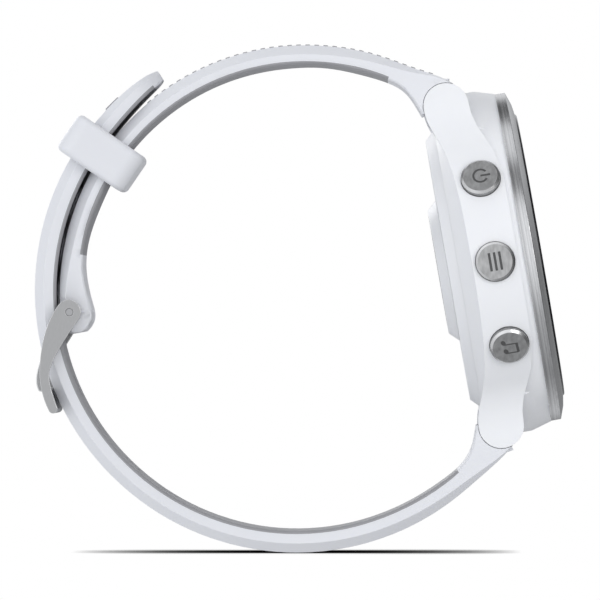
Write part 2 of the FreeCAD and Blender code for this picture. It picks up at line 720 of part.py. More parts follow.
# ---------------------------------------------------------------- keeper and buckle
def make_keeper():
    inner_low, hole_low, hole_high, outer_high = KEEPER_RADII
    hole_half, outer_half = KEEPER_HALF_WIDTHS
    half = KEEPER_LENGTH / 2
    # built with X radial and Z along the strap, then turned to its place
    outside = block((inner_low, outer_high), (-outer_half, outer_half), (-half, half))
    long_edges = [e for e in outside.Edges if e.BoundBox.ZLength > 1]
    outside = outside.makeFillet(2.2, long_edges)
    end_edges = [e for e in outside.Edges if e.BoundBox.ZLength < 0.01]
    outside = outside.makeFillet(0.9, end_edges)
    opening = block((hole_low, hole_high), (-hole_half, hole_half), (-half - 1, half + 1))
    corners = [e for e in opening.Edges if e.BoundBox.ZLength > 1]
    keeper = outside.cut(opening.makeFillet(0.6, corners))
    keeper.rotate(Vector(0, 0, 0), Y_AXIS, -KEEPER_ANGLE)
    save("keeper", keeper)


def spline(points, y):
    curve = Part.BSplineCurve()
    curve.interpolate([Vector(x, y, z) for x, z in points])
    return curve.toShape()


def arm_outline(y):
    """One buckle arm seen from the side: a round eye about the pin, narrowing to the bar."""
    outer = [(-34.2, -2.1), (-35.97, -5.63), (-36.75, -9.4), (-36.85, -12.4), (-36.37, -15.07),
             (-35.6, -17.0)]
    inner = [(-34.45, -16.5), (-35.3, -13.86), (-35.55, -12.0), (-34.48, -9.0), (-32.6, -5.9),
             (-31.25, -3.9)]
    tip = Part.Arc(Vector(outer[-1][0], y, outer[-1][1]), Vector(-34.95, y, -17.45),
                   Vector(inner[0][0], y, inner[0][1]))
    eye = Part.Arc(Vector(inner[-1][0], y, inner[-1][1]), Vector(PIN[0] + 0.25, y, PIN[1] + 1.72),
                   Vector(outer[0][0], y, outer[0][1]))
    edges = [spline(outer, y), tip.toShape(), spline(inner, y), eye.toShape()]
    return Part.Face(Part.Wire(Part.__sortEdges__(edges)))


def make_buckle_frame():
    thick = ARM_OUTER - ARM_INNER
    across = arm_outline(-ARM_OUTER).extrude(Vector(0, 2 * ARM_OUTER, 0))
    bar = across.common(block((-40, -30), (-20, 20), (-25, -13.9)))
    frame = bar
    for low in (-ARM_OUTER, ARM_INNER):
        frame = frame.fuse(arm_outline(low).extrude(Vector(0, thick, 0)))
    frame = frame.removeSplitter()
    frame = frame.cut(round_bar(PIN, TIP_HOLE, -20, 20))
    # a shallow seat for the tongue's tip
    seat = plate([(-38, -12), (-36.55, -12), (-36.55, -14.9), (-38, -14.9)], -1.2, 1.2)
    return frame.cut(seat)


def make_tongue():
    outer = [(-33.6, -2.2), (-35.45, -6.1), (-36.9, -9.3), (-37.6, -11.6), (-37.72, -13.0),
             (-37.35, -14.35)]
    inner = [(-36.85, -14.45), (-36.6, -13.0), (-36.5, -11.6), (-35.7, -9.5), (-34.1, -6.6),
             (-32.6, -4.4)]
    y = -1.0
    edges = [
        spline(outer, y),
        Part.LineSegment(Vector(outer[-1][0], y, outer[-1][1]),
                         Vector(inner[0][0], y, inner[0][1])).toShape(),
        spline(inner, y),
        Part.LineSegment(Vector(inner[-1][0], y, inner[-1][1]),
                         Vector(outer[0][0], y, outer[0][1])).toShape()]
    shaft = Part.Face(Part.Wire(Part.__sortEdges__(edges))).extrude(Vector(0, 2, 0))
    tongue = shaft.fuse(round_bar(PIN, 1.45, -1.0, 1.0))
    return tongue.cut(round_bar(PIN, STRAP_TUBE + 0.06, -2, 2))


def make_buckle():
    save("buckle_frame", make_buckle_frame())
    save("buckle_tongue", make_tongue())
    pin = round_bar(PIN, STRAP_TUBE, -TUBE_HALF + 0.1, TUBE_HALF - 0.1)
    pin = pin.fuse(round_bar(PIN, TIP_RADIUS, -ARM_OUTER + 0.15, ARM_OUTER - 0.15))
    save("buckle_spring_bar", pin)


def main():
    os.makedirs("parts", exist_ok=True)
    save("case_body", place_in_case(make_case_body()))
    make_case_front()
    make_inside()
    make_case_back()
    make_buttons()
    make_upper_strap()
    make_lower_strap()
    make_stop_rib()
    make_keeper()
    make_buckle()


main()
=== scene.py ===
import json
import math

import bmesh
import bpy
from mathutils import Matrix, Vector
from mathutils.bvhtree import BVHTree


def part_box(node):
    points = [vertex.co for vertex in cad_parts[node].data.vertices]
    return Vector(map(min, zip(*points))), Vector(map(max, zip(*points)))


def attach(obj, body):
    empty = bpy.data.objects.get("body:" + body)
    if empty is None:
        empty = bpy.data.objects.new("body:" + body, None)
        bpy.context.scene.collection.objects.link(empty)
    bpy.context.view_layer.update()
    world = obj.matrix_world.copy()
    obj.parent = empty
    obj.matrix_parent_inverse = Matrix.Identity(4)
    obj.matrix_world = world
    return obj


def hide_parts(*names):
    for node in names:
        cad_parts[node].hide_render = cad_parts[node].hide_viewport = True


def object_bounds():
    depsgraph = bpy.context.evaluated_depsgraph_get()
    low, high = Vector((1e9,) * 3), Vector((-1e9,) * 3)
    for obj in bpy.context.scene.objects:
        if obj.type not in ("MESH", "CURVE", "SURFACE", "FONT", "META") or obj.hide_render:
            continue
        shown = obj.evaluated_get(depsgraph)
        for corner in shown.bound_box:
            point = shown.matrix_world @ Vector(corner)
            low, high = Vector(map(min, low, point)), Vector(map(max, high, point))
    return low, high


# GPS running watch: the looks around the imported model. Sizes and places are in millimetres in the
# row frame, unless a comment says otherwise, and meshes are scaled to metres when they become a
# piece.

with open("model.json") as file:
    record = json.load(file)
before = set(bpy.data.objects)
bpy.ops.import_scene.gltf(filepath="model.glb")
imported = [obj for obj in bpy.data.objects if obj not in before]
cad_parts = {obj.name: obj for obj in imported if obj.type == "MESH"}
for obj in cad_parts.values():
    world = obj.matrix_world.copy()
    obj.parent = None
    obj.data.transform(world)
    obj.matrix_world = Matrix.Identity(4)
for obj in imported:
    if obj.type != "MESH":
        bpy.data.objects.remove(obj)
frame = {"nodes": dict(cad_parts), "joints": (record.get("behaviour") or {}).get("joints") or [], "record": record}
CAD_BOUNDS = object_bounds()

MM = 0.001
JOINTS = {joint["name"]: joint for joint in frame["joints"]}
ALONG = Vector((0, 1, 0))        # along the forearm, to 3 o'clock
FRONT = Vector(JOINTS["vibration_motor_spin"]["axis"]).normalized()      # out through the display
UPWARD = FRONT.cross(ALONG)      # to 12 o'clock, along the dial

# Camera: far off on the 9 o'clock side, level with the case's half of the ring and a little below
# its middle
CAMERA_PLACE = Vector((15.0, -1700.0, -7.1))
VIEW_CENTRE = Vector((-0.21, 0.0, -1.38))
VIEW_WIDTH = 85.35

BUTTONS = ("light", "menu", "music", "start", "back")


def box_centre(node):
    low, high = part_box(node)
    return (low + high) / 2 / MM


GASKET_CENTRE = box_centre("bezel_gasket")      # a point on the case's axis


# ---------------------------------------------------------------- shader helpers
class Tree:
    """A node tree, and short ways to add to it."""

    def __init__(self, tree):
        self.tree = tree

    def add(self, kind, **settings):
        node = self.tree.nodes.new(kind)
        for key, value in settings.items():
            setattr(node, key, value)
        return node

    def link(self, source, target):
        self.tree.links.new(source, target)

    def feed(self, value, socket):
        if isinstance(value, bpy.types.NodeSocket):
            self.link(value, socket)
        else:
            socket.default_value = value

    def math(self, operation, first, second=0.0):
        node = self.add("ShaderNodeMath", operation=operation)
        self.feed(first, node.inputs[0])
        self.feed(second, node.inputs[1])
        return node.outputs[0]


class Nodes(Tree):
    """A new material's node tree with one Principled shader. Its textures lie in the object's own
    coordinates."""

    def __init__(self, name):
        self.material = bpy.data.materials.new(name)
        self.material.use_nodes = True
        super().__init__(self.material.node_tree)
        self.shader = self.tree.nodes["Principled BSDF"]

    def position(self):
        return self.add("ShaderNodeTexCoord").outputs["Object"]

    def stretched(self, factors):
        """Object coordinates in millimetres, times a factor on each axis."""
        mapping = self.add("ShaderNodeMapping")
        mapping.inputs["Scale"].default_value = [factor / MM for factor in factors]
        self.link(self.position(), mapping.inputs["Vector"])
        return mapping.outputs["Vector"]

    def noise(self, vector, detail=2.0):
        """Noise whose grain is one unit of the vector it is given."""
        node = self.add("ShaderNodeTexNoise")
        node.inputs["Scale"].default_value = 1.0
        node.inputs["Detail"].default_value = detail
        self.link(vector, node.inputs["Vector"])
        return node.outputs["Fac"]

    def spread(self, value, low, high):
        """Takes a 0 to 1 value to a range."""
        node = self.add("ShaderNodeMapRange")
        node.inputs["To Min"].default_value = low
        node.inputs["To Max"].default_value = high
        self.feed(value, node.inputs["Value"])
        return node.outputs["Result"]

    def blend(self, value, first, second):
        """A colour between two, by a 0 to 1 value."""
        ramp = self.add("ShaderNodeValToRGB")
        ramp.color_ramp.elements[0].color = (*first, 1)
        ramp.color_ramp.elements[1].color = (*second, 1)
        self.feed(value, ramp.inputs["Fac"])
        return ramp.outputs["Color"]

    def bump(self, height, depth):
        """Bump from a 0 to 1 height, depth in millimetres."""
        node = self.add("ShaderNodeBump")
        node.inputs["Distance"].default_value = depth * MM
        self.link(height, node.inputs["Height"])
        self.link(node.outputs["Normal"], self.shader.inputs["Normal"])

    def set(self, **values):
        """Feeds the shader's inputs, named in lower case with underscores."""
        for key, value in values.items():
            self.feed(value, self.shader.inputs[key.replace("_", " ").title()])


MOULD_BUMP = 0.004      # height of a moulded grain
BRUSH_BUMP = 0.003      # height of a brushed or turned grain
RING_GRAIN = 4          # turned circles to a millimetre


def moulded(name, dark, light, roughness, grain=0.18, sheen=0.0, scatter=0.0):
    """A moulded plastic or rubber: fine grain, faint clouding, uneven gloss."""
    n = Nodes(name)
    clouds = n.noise(n.stretched((0.12, 0.12, 0.12)), detail=3.0)
    fine = n.noise(n.stretched((1 / grain,) * 3), detail=1.0)
    n.set(base_color=n.blend(clouds, dark, light),
          roughness=n.spread(fine, roughness - 0.05, roughness + 0.05))
    n.bump(fine, MOULD_BUMP)
    if sheen:
        n.shader.inputs["Sheen Weight"].default_value = sheen
        n.shader.inputs["Sheen Roughness"].default_value = 0.5
    if scatter:
        n.shader.inputs["Subsurface Weight"].default_value = scatter
        n.shader.inputs["Subsurface Radius"].default_value = (0.8, 0.8, 0.9)
        n.shader.inputs["Subsurface Scale"].default_value = MM
    return n.material


def brushed(name, dark, light, roughness, stretch):
    """A brushed metal: grain is long where the stretch factor is small."""
    n = Nodes(name)
    streaks = n.noise(n.stretched(stretch), detail=4.0)
    n.set(base_color=n.blend(streaks, dark, light), metallic=1.0,
          roughness=n.spread(streaks, roughness - 0.06, roughness + 0.06))
    n.bump(streaks, BRUSH_BUMP)
    return n.material


def polished(name, dark, light, roughness=0.12):
    """A smooth metal with faint handling marks."""
    n = Nodes(name)
    marks = n.noise(n.stretched((0.9, 0.9, 0.9)), detail=5.0)
    n.set(base_color=n.blend(marks, dark, light), metallic=1.0,
          roughness=n.spread(marks, roughness - 0.04, roughness + 0.06))
    return n.material


def turned_metal(name, dark, light, roughness):
    """A metal brushed in circles about the case's axis."""
    n = Nodes(name)
    offset = n.add("ShaderNodeVectorMath", operation="SUBTRACT")
    n.link(n.position(), offset.inputs[0])
    offset.inputs[1].default_value = GASKET_CENTRE * MM
    along = n.add("ShaderNodeVectorMath", operation="DOT_PRODUCT")
    n.link(offset.outputs["Vector"], along.inputs[0])
    along.inputs[1].default_value = FRONT
    distance = n.add("ShaderNodeVectorMath", operation="LENGTH")
    n.link(offset.outputs["Vector"], distance.inputs[0])
    place = n.add("ShaderNodeCombineXYZ")
    n.link(n.math("MULTIPLY", along.outputs["Value"], RING_GRAIN / MM), place.inputs["X"])
    n.link(n.math("MULTIPLY", distance.outputs["Value"], RING_GRAIN / MM), place.inputs["Y"])
    # a slow change round the ring keeps the circles from looking machine perfect
    n.link(n.noise(n.stretched((0.8, 0.8, 0.8))), place.inputs["Z"])
    streaks = n.noise(place.outputs["Vector"], detail=3.0)
    n.set(base_color=n.blend(streaks, dark, light), metallic=1.0,
          roughness=n.spread(streaks, roughness - 0.07, roughness + 0.07))
    n.bump(streaks, BRUSH_BUMP)
    n.shader.inputs["Anisotropic"].default_value = 0.6
    tangent = n.add("ShaderNodeVectorMath", operation="CROSS_PRODUCT")
    n.link(offset.outputs["Vector"], tangent.inputs[0])
    tangent.inputs[1].default_value = FRONT
    n.link(tangent.outputs["Vector"], n.shader.inputs["Tangent"])
    return n.material


def dark_glass(name, dark, light):
    """Glass over a black layer, with a faint coating tint and smears."""
    n = Nodes(name)
    clouds = n.noise(n.stretched((0.05, 0.05, 0.05)))
    smears = n.noise(n.stretched((0.4, 0.4, 0.4)), detail=3.0)
    n.set(base_color=n.blend(clouds, dark, light), roughness=n.spread(smears, 0.03, 0.09))
    n.shader.inputs["Specular IOR Level"].default_value = 0.3
    return n.material


def board_material():
    """Solder mask over copper tracks."""
    n = Nodes("circuit_board")
    tracks = n.add("ShaderNodeTexBrick")
    tracks.inputs["Scale"].default_value = 1.0
    tracks.inputs["Mortar Size"].default_value = 0.06
    tracks.inputs["Color1"].default_value = (0.01, 0.10, 0.04, 1)
    tracks.inputs["Color2"].default_value = (0.01, 0.13, 0.05, 1)
    tracks.inputs["Mortar"].default_value = (0.03, 0.22, 0.09, 1)
    n.link(n.stretched((0.8, 0.8, 0.8)), tracks.inputs["Vector"])
    n.link(tracks.outputs["Color"], n.shader.inputs["Base Color"])
    n.set(roughness=n.spread(n.noise(n.stretched((3, 3, 3))), 0.3, 0.45))
    return n.material


def make_materials():
    """One material for each of the record's slots, and a few finishes besides."""
    return {
        "case_polymer": moulded("case_polymer", (0.87, 0.88, 0.91), (0.90, 0.91, 0.93), 0.42,
                                scatter=0.15),
        "bezel_metal": turned_metal("bezel_metal", (0.34, 0.34, 0.35), (0.76, 0.76, 0.76), 0.21),
        "seal_rubber": moulded("seal_rubber", (0.015, 0.015, 0.016), (0.03, 0.03, 0.03), 0.6),
        "lens_glass": dark_glass("lens_glass", (0.004, 0.004, 0.005), (0.008, 0.008, 0.011)),
        "adhesive": moulded("adhesive", (0.02, 0.02, 0.02), (0.03, 0.03, 0.03), 0.7),
        "display_black": dark_glass("display_black", (0.003, 0.003, 0.004), (0.006, 0.006, 0.01)),
        "flex_polyimide": moulded("flex_polyimide", (0.42, 0.2, 0.03), (0.5, 0.27, 0.05), 0.35),
        "chassis_polymer": moulded("chassis_polymer", (0.02, 0.02, 0.022), (0.04, 0.04, 0.04), 0.5),
        "circuit_board": board_material(),
        "chip_black": moulded("chip_black", (0.01, 0.01, 0.011), (0.02, 0.02, 0.02), 0.4),
        "contact_gold": polished("contact_gold", (0.75, 0.5, 0.17), (0.85, 0.62, 0.27)),
        "battery_foil": brushed("battery_foil", (0.55, 0.56, 0.58), (0.7, 0.71, 0.73), 0.35,
                                (6, 0.4, 6)),
        "bright_steel": polished("bright_steel", (0.32, 0.32, 0.33), (0.40, 0.40, 0.40), 0.3),
        "sensor_glass": dark_glass("sensor_glass", (0.005, 0.005, 0.007), (0.012, 0.012, 0.016)),
        "sensor_parts": moulded("sensor_parts", (0.5, 0.5, 0.3), (0.6, 0.6, 0.4), 0.25),
        "vent_membrane": moulded("vent_membrane", (0.3, 0.3, 0.31), (0.4, 0.4, 0.4), 0.7,
                                 grain=0.1),
        "button_metal": brushed("button_metal", (0.20, 0.20, 0.20), (0.56, 0.56, 0.56), 0.48,
                                (2.2, 2.2, 0.7)),
        "strap_silicone": moulded("strap_silicone", (0.79, 0.80, 0.84), (0.83, 0.84, 0.87), 0.5,
                                  sheen=0.1, scatter=0.1),
        "strap_inner_silicone": moulded("strap_inner_silicone", (0.30, 0.30, 0.315),
                                        (0.36, 0.36, 0.375), 0.5),
        "buckle_metal": brushed("buckle_metal", (0.34, 0.34, 0.34), (0.42, 0.42, 0.42), 0.42,
                                (7, 7, 1.2)),
        "polished_edge": polished("polished_edge", (0.62, 0.62, 0.62), (0.72, 0.72, 0.72), 0.24),
        "engraving": moulded("engraving", (0.05, 0.05, 0.05), (0.08, 0.08, 0.08), 0.6),
    }


MATERIALS = make_materials()


# ---------------------------------------------------------------- mesh helpers
WELD = 0.001            # vertices closer than this are one
FLATNESS = 0.4          # degrees, between faces that lie in one plane
SHARP_ANGLE = 35.0      # degrees, from which an edge stays sharp in the shading


def cad_mesh(node):
    """A welded copy of a CAD node's mesh in millimetres, with flat areas joined into one face."""
    bm = bmesh.new()
    bm.from_mesh(frame["nodes"][node].data)
    bmesh.ops.scale(bm, vec=(1 / MM,) * 3, verts=bm.verts)
    bmesh.ops.remove_doubles(bm, verts=bm.verts, dist=WELD)
    bmesh.ops.dissolve_limit(bm, angle_limit=math.radians(FLATNESS), verts=bm.verts,
                             edges=bm.edges)
    return bm


def to_object(bm, name, materials):
    mesh = bpy.data.meshes.new(name)
    bm.to_mesh(mesh)
    bm.free()
    for material in materials:
        mesh.materials.append(MATERIALS[material])
    piece = bpy.data.objects.new(name, mesh)
    bpy.context.scene.collection.objects.link(piece)
    return piece


def bake_modifiers(piece):
    """Replaces the mesh with what its modifiers make of it."""
    bpy.context.view_layer.update()
    evaluated = piece.evaluated_get(bpy.context.evaluated_depsgraph_get())
    mesh = bpy.data.meshes.new_from_object(evaluated)
    old = piece.data
    piece.modifiers.clear()
    piece.data = mesh
    name = old.name
    bpy.data.meshes.remove(old)
    mesh.name = name


def round_edges(piece, width, segments=3, angle=25.0, material=-1, weights=False):
    """Rounds the edges sharper than the angle, or the weighted ones, in the material given by its
    index, where -1 is each face's own."""
    bevel = piece.modifiers.new("bevel", "BEVEL")
    bevel.width = width
    bevel.segments = segments
    bevel.limit_method = "WEIGHT" if weights else "ANGLE"
    bevel.angle_limit = math.radians(angle)
    bevel.material = material
    bevel.miter_outer = "MITER_ARC"
    bake_modifiers(piece)


def smooth_faces(piece):
    """Smooth shading with sharp edges kept, and normals led by the big faces."""
    bm = bmesh.new()
    bm.from_mesh(piece.data)
    for face in bm.faces:
        face.smooth = True
    for edge in bm.edges:
        edge.smooth = edge.calc_face_angle(0.0) < math.radians(SHARP_ANGLE)
    bm.to_mesh(piece.data)
    bm.free()
    weighted = piece.modifiers.new("normals", "WEIGHTED_NORMAL")
    weighted.keep_sharp = True
    bake_modifiers(piece)


def as_piece(piece, body, replaced=()):
    """The last step for a new mesh: metres, shading, body and the CAD nodes it stands for."""
    smooth_faces(piece)
    piece.data.transform(Matrix.Scale(MM, 4))
    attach(piece, body)
    if replaced:
        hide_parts(*replaced)


def refined(node, name, body, slot, width, segments=3, edge_angle=25.0, extra=(), edge_material=-1):
    """A CAD node's own shape with its edges broken, as a new piece that replaces it."""
    piece = to_object(cad_mesh(node), name, (slot, *extra))
    round_edges(piece, width, segments, edge_angle, edge_material)
    as_piece(piece, body, (node,))


# ---------------------------------------------------------------- the case
def make_case():
    refined("case_body", "case_shell", "case", "case_polymer", 0.18)
    refined("bezel_ring", "bezel", "case", "bezel_metal", 0.05, 2)
    refined("back_cover", "case_back", "case", "case_polymer", 0.12)
    refined("sensor_housing", "sensor_ring", "case", "case_polymer", 0.15)
    refined("charging_port", "charging_socket", "case", "case_polymer", 0.08)


# ---------------------------------------------------------------- buttons
FACE_DEPTH = 0.01               # points this close to the outermost one lie on the button's face
CHAMFER_FACING = (0.3, 0.95)    # cosines between the chamfer's faces and straight outward

MARK_DEPTH = 0.10               # half the depth of a symbol's bars
MARK_Z = (-MARK_DEPTH, MARK_DEPTH)
MARK_PROUD = 0.012              # how far a symbol's first bar stands out of the face
MARK_STEP = 0.003               # how much further each next bar stands out
STROKE = 0.30

RING_RADIUS = 1.0               # power symbol: a ring open at the top, and a stroke through it
RING_GAP = 35                   # degrees each side of the top
STROKE_TOP = 1.4

MENU_BAR = (1.3, 0.175)         # half the length and half the height of a menu bar
MENU_PITCH = 0.73

NOTE_HEAD = 0.42                # radius, before it is flattened and turned
NOTE_SQUASH = 0.75
NOTE_LEAN = 25                  # degrees
NOTE_STEM = (0.23, 0.41)        # the sides of a stem, right of the head's middle
NOTES = ((-0.85, -0.85, 0.9), (0.55, -0.65, 1.1))      # the head's middle and the stem's top
NOTE_BEAM = ((-0.53, 0.99), (0.82, 1.2), 5)            # across, up, and degrees of turn

TRIANGLE = ((-0.7, -0.95), (1.0, 0.0), (-0.7, 0.95))

ARROW_RADIUS = 0.62             # return arrow: a half ring with two arms and a head
ARROW_STROKE = 0.26
ARROW_ARM = (-0.85, 0.05)
ARROW_HEAD = ((-0.2, 0.3), (0.85, 1.1), 45)            # across, up, and degrees of turn


def face_frame(node, outward):
    """Axes on a button's face: x to the right and y up to the bezel as seen from outside, with
    z outward and the origin in the middle of the face."""
    points = [vertex.co / MM for vertex in frame["nodes"][node].data.vertices]
    reach = max(point.dot(outward) for point in points)
    on_face = [point for point in points if point.dot(outward) > reach - FACE_DEPTH]
    centre = sum(on_face, Vector()) / len(on_face)
    right = FRONT.cross(outward)
    matrix = Matrix((right, FRONT, outward)).transposed().to_4x4()
    matrix.translation = centre
    return matrix


def add_block(bm, x, y, z, turn=0.0):
    """A box from (low, high) pairs, turned about z through the origin by degrees."""
    size = [high - low for low, high in (x, y, z)]
    centre = [(high + low) / 2 for low, high in (x, y, z)]
    matrix = Matrix.Rotation(math.radians(turn), 4, "Z") @ Matrix.Translation(centre)
    bmesh.ops.create_cube(bm, size=1.0, matrix=matrix @ Matrix.Diagonal((*size, 1)))


def add_arc(bm, radius, stroke, start, end, depth, steps=28):
    """A curved bar of square section, angles in degrees from x."""
    rings = []
    for i in range(steps + 1):
        turn = math.radians(start + (end - start) * i / steps)
        ring = []
        for r, z in ((radius - stroke / 2, -depth), (radius + stroke / 2, -depth),
                     (radius + stroke / 2, depth), (radius - stroke / 2, depth)):
            ring.append(bm.verts.new((r * math.cos(turn), r * math.sin(turn), z)))
        rings.append(ring)
    for first, second in zip(rings, rings[1:]):
        for i in range(4):
            j = (i + 1) % 4
            bm.faces.new((first[i], first[j], second[j], second[i]))
    bm.faces.new(rings[0][::-1])
    bm.faces.new(rings[-1])


def add_note_head(bm, x, y):
    """A flattened disc that leans."""
    matrix = Matrix.Translation((x, y, 0)) @ Matrix.Rotation(math.radians(NOTE_LEAN), 4, "Z")
    matrix = matrix @ Matrix.Diagonal((1, NOTE_SQUASH, 1, 1))
    bmesh.ops.create_cone(bm, cap_ends=True, segments=24, radius1=NOTE_HEAD, radius2=NOTE_HEAD,
                          depth=2 * MARK_DEPTH, matrix=matrix)


def power_symbol():
    bars = [bmesh.new(), bmesh.new()]
    add_arc(bars[0], RING_RADIUS, STROKE, 90 + RING_GAP, 90 + 360 - RING_GAP, MARK_DEPTH)
    add_block(bars[1], (-STROKE / 2, STROKE / 2), (0.0, STROKE_TOP), MARK_Z)
    return bars


def menu_symbol():
    """Three bars."""
    half_length, half_height = MENU_BAR
    bars = []
    for row in (-1, 0, 1):
        y = row * MENU_PITCH
        bars.append(bmesh.new())
        add_block(bars[-1], (-half_length, half_length), (y - half_height, y + half_height), MARK_Z)
    return bars


def music_symbol():
    """Two notes joined by a beam."""
    bars = [bmesh.new() for _ in range(5)]
    for i, (x, y, top) in enumerate(NOTES):
        add_note_head(bars[i], x, y)
        add_block(bars[2 + i], (x + NOTE_STEM[0], x + NOTE_STEM[1]), (y, top), MARK_Z)
    across, up, turn = NOTE_BEAM
    add_block(bars[4], across, up, MARK_Z, turn)
    return bars


def start_symbol():
    """A plain triangle."""
    bm = bmesh.new()
    low = [bm.verts.new((x, y, -MARK_DEPTH)) for x, y in TRIANGLE]
    high = [bm.verts.new((x, y, MARK_DEPTH)) for x, y in TRIANGLE]
    bm.faces.new(low[::-1])
    bm.faces.new(high)
    for i in range(3):
        j = (i + 1) % 3
        bm.faces.new((low[i], low[j], high[j], high[i]))
    return [bm]


def back_symbol():
    """A return arrow."""
    bars = [bmesh.new() for _ in range(4)]
    add_arc(bars[0], ARROW_RADIUS, ARROW_STROKE, -90, 90, MARK_DEPTH)
    for bar, y in zip(bars[1:], (ARROW_RADIUS, -ARROW_RADIUS)):
        add_block(bar, ARROW_ARM, (y - ARROW_STROKE / 2, y + ARROW_STROKE / 2), MARK_Z)
    across, up, turn = ARROW_HEAD
    add_block(bars[3], across, up, MARK_Z, turn)
    return bars


SYMBOLS = {
    "light": power_symbol,
    "menu": menu_symbol,
    "music": music_symbol,
    "start": start_symbol,
    "back": back_symbol,
}


def inlay(bm, bars, place, material_index):
    """Sets a symbol's bars into a face, each a hair above the last so that none share a plane."""
    for i, bar in enumerate(bars):
        height = MARK_PROUD + MARK_STEP * i - MARK_DEPTH
        matrix = place @ Matrix.Translation((0, 0, height))
        bmesh.ops.transform(bar, matrix=matrix, verts=bar.verts)
        bmesh.ops.recalc_face_normals(bar, faces=bar.faces)
        for face in bar.faces:
            face.material_index = material_index
        mesh = bpy.data.meshes.new("bar")
        bar.to_mesh(mesh)
        bar.free()
        bm.from_mesh(mesh)
        bpy.data.meshes.remove(mesh)


def make_buttons():
    """Each cap with its polished chamfer and its symbol."""
    for name in BUTTONS:
        node = f"{name}_button"
        outward = -Vector(JOINTS[f"{name}_button_press"]["axis"]).normalized()
        bm = cad_mesh(node)
        bm.normal_update()
        # the chamfer round the face is polished
        for face in bm.faces:
            if CHAMFER_FACING[0] < face.normal.dot(outward) < CHAMFER_FACING[1]:
                face.material_index = 1
        inlay(bm, SYMBOLS[name](), face_frame(node, outward), 2)
        cap = to_object(bm, f"{name}_cap", ("button_metal", "polished_edge", "engraving"))
        as_piece(cap, f"{name}_button_body", (node,))


# ---------------------------------------------------------------- strap, keeper and buckle
CREASE_ROUNDING = 0.75
CREASE_ANGLES = (28.0, 62.0)    # degrees between the two faces at a crease
CREASE_LENGTH = 1.0             # shorter edges aren't creases
CREASE_SLANT = 0.2              # largest cosine between a crease and the forearm
CREASE_PLACE = 7.5              # creases lie further than this from the strap's middle
EDGE_ROUNDING = 0.22
EDGE_ANGLE = 25.0               # degrees between the two faces at an edge that is rounded


def round_chosen(strap, chosen, width, segments):
    """Rounds the edges that stand outward and that chosen(edge, angle in degrees) picks, so that
    no hole or corner is filled in."""
    bm = bmesh.new()
    bm.from_mesh(strap.data)
    weights = bm.edges.layers.float.get("bevel_weight_edge")
    if weights is None:
        weights = bm.edges.layers.float.new("bevel_weight_edge")
    for edge in bm.edges:
        outward = edge.is_manifold and edge.is_convex
        picked = outward and chosen(edge, math.degrees(edge.calc_face_angle()))
        edge[weights] = 1.0 if picked else 0.0
    bm.to_mesh(strap.data)
    bm.free()
    round_edges(strap, width, segments, weights=True)


def is_crease(edge, angle):
    """A long crease of an outer edge's bevel."""
    first, second = (vertex.co for vertex in edge.verts)
    slant = abs((second - first).normalized().dot(ALONG))
    lengthwise = slant < CREASE_SLANT and edge.calc_length() > CREASE_LENGTH
    at_side = abs((first + second).y / 2) > CREASE_PLACE
    return lengthwise and at_side and CREASE_ANGLES[0] < angle < CREASE_ANGLES[1]


def make_straps():
    """Both halves with their inner layers, the tail's rib and the keeper."""
    for node, name, body in (("strap_buckle_side", "strap_12", "buckle_strap"),
                             ("strap_tail_side", "strap_6", "tail_strap")):
        strap = to_object(cad_mesh(node), name, ("strap_silicone",))
        round_chosen(strap, is_crease, CREASE_ROUNDING, 5)
        round_chosen(strap, lambda edge, angle: angle > EDGE_ANGLE, EDGE_ROUNDING, 3)
        as_piece(strap, body, (node,))
    refined("strap_buckle_side_liner", "strap_12_liner", "buckle_strap",
            "strap_inner_silicone", 0.25)
    refined("strap_tail_side_liner", "strap_6_liner", "tail_strap", "strap_inner_silicone", 0.25)
    refined("tail_stop_rib", "stop_rib", "tail_strap", "strap_inner_silicone", 0.05)
    refined("keeper", "keeper_band", "keeper_loop", "strap_silicone", 0.2)


UPPER_CENTRE = Vector((0.68, 0.0, -0.07))      # centre of the buckle-side strap's arc
RAY_START = 45                  # from the centre, outside the strap
FLAT_REACH = 6.0                # the outer face is flat at least this far from its middle
FLAT_STEP = 0.05
FLAT_FACING = 0.93              # smallest cosine between the flat and straight outward

DASH_SPAN = (60.0, 131.6)       # degrees round the arc
DASH_PITCH = 2.11               # degrees
DASH_COLUMNS = 9
DASH_LENGTH = 0.65
DASH_WIDTH = 0.9
DASH_PROUD = 0.13
DASH_ROUNDING = 0.06


def spoke(angle):
    """The direction outward from the arc's centre at an angle in degrees."""
    turn = math.radians(angle)
    return Vector((math.cos(turn), 0, math.sin(turn)))


